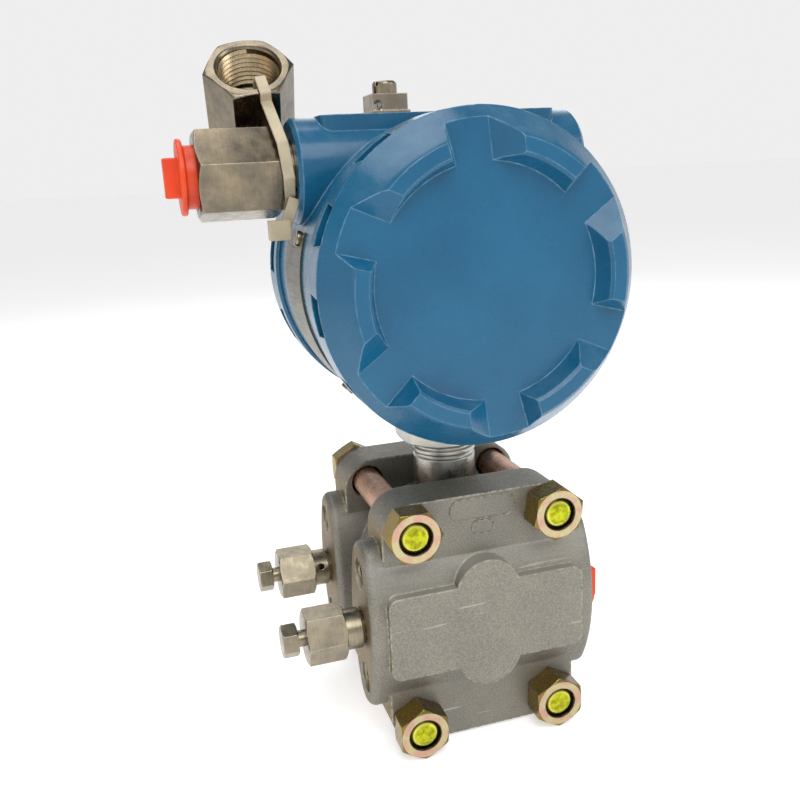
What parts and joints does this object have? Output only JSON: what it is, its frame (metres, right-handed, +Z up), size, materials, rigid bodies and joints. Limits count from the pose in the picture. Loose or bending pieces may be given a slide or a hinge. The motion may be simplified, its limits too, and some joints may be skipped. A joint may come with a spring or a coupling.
{
  "type": "differential pressure transmitter",
  "caption": "Differential pressure transmitter: a sensing cell bolted between two cast process flanges, under a round housing with screwed, castellated covers.",
  "frame": {"origin": "on the axis of the cell's neck, at the ground the lower nuts and bolt heads stand on", "axes": "+X along the flanges from the vent valves to the process ports, -Y to the front cover, +Z up"},
  "size_m": [0.1467, 0.111, 0.2505],
  "materials": {
    "cast_steel": "cast stainless steel, bead blasted",
    "plated_steel": "zinc plated, yellow passivated",
    "stainless": "machined stainless steel",
    "painted_aluminium": "cast aluminium, semi-gloss polyester paint",
    "plate_steel": "rolled stainless sheet, brushed",
    "red_plastic": "moulded polyethylene",
    "nylon": "natural nylon",
    "seal_rubber": "nitrile rubber",
    "seal_ptfe": "glass filled fluoropolymer",
    "potting": "moulded potting shell",
    "board": "solder masked glass epoxy",
    "terminal_plastic": "glass filled moulding",
    "screw_steel": "stainless screws"
  },
  "bodies": {
    "process_body": {"front_flange": "cast_steel", "rear_flange": "cast_steel", "process_seals": "seal_ptfe", "flange_bolts": "plated_steel", "flange_nuts": "plated_steel", "sensing_cell": "stainless", "isolating_diaphragms": "stainless", "housing_lock_nut": "stainless", "vent_valve_bodies": "stainless"},
    "front_stem": {"front_vent_stem": "stainless"},
    "rear_stem": {"rear_vent_stem": "stainless"},
    "front_plug": {"front_port_plug": "red_plastic"},
    "rear_plug": {"rear_port_plug": "red_plastic"},
    "housing_body": {"housing": "painted_aluminium", "nameplate": "plate_steel", "nameplate_screws": "screw_steel", "ground_clamp": "screw_steel", "conduit_adapter": "stainless", "spare_conduit_adapter": "stainless", "cable_tie": "nylon", "electronics_module": "potting", "circuit_board": "board", "electronics_screws": "screw_steel", "terminal_block": "terminal_plastic", "terminal_screws": "screw_steel", "terminal_block_screws": "screw_steel"},
    "earth_screw": {"ground_screw": "screw_steel"},
    "entry_plug": {"conduit_plug": "red_plastic"},
    "front_seal": {"front_cover_seal": "seal_rubber"},
    "front_lid": {"front_cover": "painted_aluminium"},
    "rear_seal": {"rear_cover_seal": "seal_rubber"},
    "rear_lid": {"rear_cover": "painted_aluminium"}
  },
  "joints": [
    {"name": "housing_swivel", "type": "hinge", "parent": "process_body", "child": "housing_body", "pos_m": [0, 0, 0.12], "axis": [0, 0, 1], "range_deg": [-90, 90]},
    {"name": "front_vent_turn", "type": "hinge", "parent": "process_body", "child": "front_stem", "pos_m": [-0.07, -0.027, 0.04781], "axis": [-1, 0, 0], "range_deg": [0, 360]},
    {"name": "rear_vent_turn", "type": "hinge", "parent": "process_body", "child": "rear_stem", "pos_m": [-0.07, 0.027, 0.04781], "axis": [-1, 0, 0], "range_deg": [0, 360]},
    {"name": "front_plug_pull", "type": "slide", "parent": "process_body", "child": "front_plug", "axis": [1, 0, 0], "range_m": [0, 0.02]},
    {"name": "rear_plug_pull", "type": "slide", "parent": "process_body", "child": "rear_plug", "axis": [1, 0, 0], "range_m": [0, 0.02]},
    {"name": "ground_screw_turn", "type": "hinge", "parent": "housing_body", "child": "earth_screw", "pos_m": [-0.0164, 0, 0.23], "axis": [0, 0, 1], "range_deg": [0, 360]},
    {"name": "conduit_plug_pull", "type": "slide", "parent": "housing_body", "child": "entry_plug", "axis": [-1, 0, 0], "range_m": [0, 0.02]},
    {"name": "front_cover_travel", "type": "slide", "parent": "housing_body", "child": "front_seal", "axis": [0, -1, 0], "range_m": [0, 0.0121]},
    {"name": "front_cover_turn", "type": "hinge", "parent": "front_seal", "child": "front_lid", "pos_m": [0, -0.04, 0.169], "axis": [0, -1, 0], "range_deg": [0, 2880]},
    {"name": "rear_cover_travel", "type": "slide", "parent": "housing_body", "child": "rear_seal", "axis": [0, 1, 0], "range_m": [0, 0.0121]},
    {"name": "rear_cover_turn", "type": "hinge", "parent": "rear_seal", "child": "rear_lid", "pos_m": [0, 0.04, 0.169], "axis": [0, 1, 0], "range_deg": [0, 2880]}
  ],
  "couplings": [
    {"joint": "front_cover_travel", "follows": "front_cover_turn", "m_per_rad": 0.00023873},
    {"joint": "rear_cover_travel", "follows": "rear_cover_turn", "m_per_rad": 0.00023873}
  ]
}
